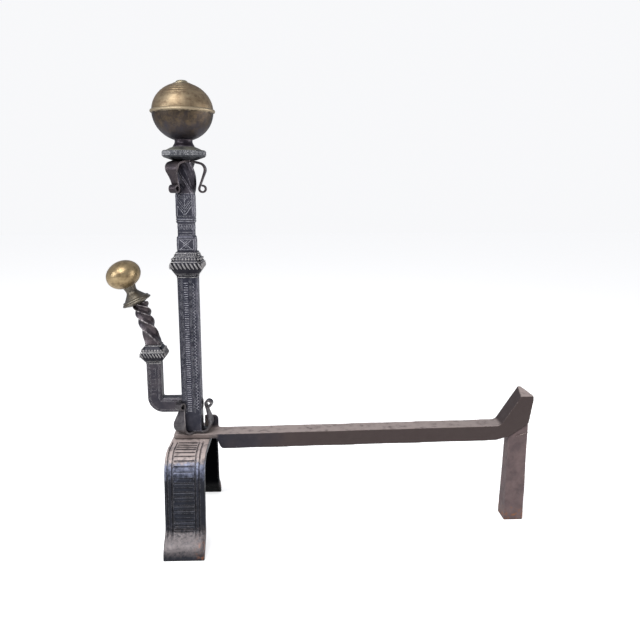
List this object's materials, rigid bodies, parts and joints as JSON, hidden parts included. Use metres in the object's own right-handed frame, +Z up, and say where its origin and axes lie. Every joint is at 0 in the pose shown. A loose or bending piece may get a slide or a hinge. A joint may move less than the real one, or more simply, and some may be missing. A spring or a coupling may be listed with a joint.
{
  "type": "andiron",
  "caption": "Wrought-iron andiron: strap arch foot, billet bar with turned-up log stop, chased square column under a brass ball, and a twisted side arm with a small brass ball.",
  "frame": {"origin": "on the floor, under the middle of the andiron's outline seen from above", "axes": "+Z up; +X runs back along the billet bar, from the column to the rear leg and the log stop; Y runs across the hearth, along the arch foot"},
  "size_m": [0.6254, 0.2462, 0.6483],
  "materials": {
    "arch_iron": "forged, brown-black scale with worn edges",
    "bar_iron": "forged, rubbed tan-brown where logs lie",
    "leg_iron": "forged, brown with rust at the floor",
    "scroll_iron": "forged, dark grey",
    "column_iron": "forged and chased, blue-grey, half-polished",
    "knot_iron": "forged and chased, grey with bright ridges",
    "disc_iron": "turned, grey with a knurled rim",
    "neck_iron": "turned, dark purple-brown",
    "ball_brass_low": "tarnished brown, half-polished",
    "ball_brass": "turned, half-polished, light tarnish",
    "button_brass": "turned, polished by handling",
    "arm_iron": "forged and twisted, blue-grey",
    "arm_disc_brass": "turned, greenish tarnish",
    "small_ball_brass": "polished, warm"
  },
  "bodies": {
    "root": {"arch_foot": "arch_iron", "billet_bar": "bar_iron", "rear_leg": "leg_iron", "lower_scrolls": "scroll_iron", "column": "column_iron", "column_knot": "knot_iron", "upper_scrolls": "scroll_iron", "drip_disc": "disc_iron", "ball_neck": "neck_iron", "ball_lower": "ball_brass_low", "ball_upper": "ball_brass", "top_button": "button_brass", "side_arm": "arm_iron", "arm_knot": "knot_iron", "arm_disc": "arm_disc_brass", "arm_ball": "small_ball_brass", "foot_washer": "arch_iron"}
  },
  "joints": []
}
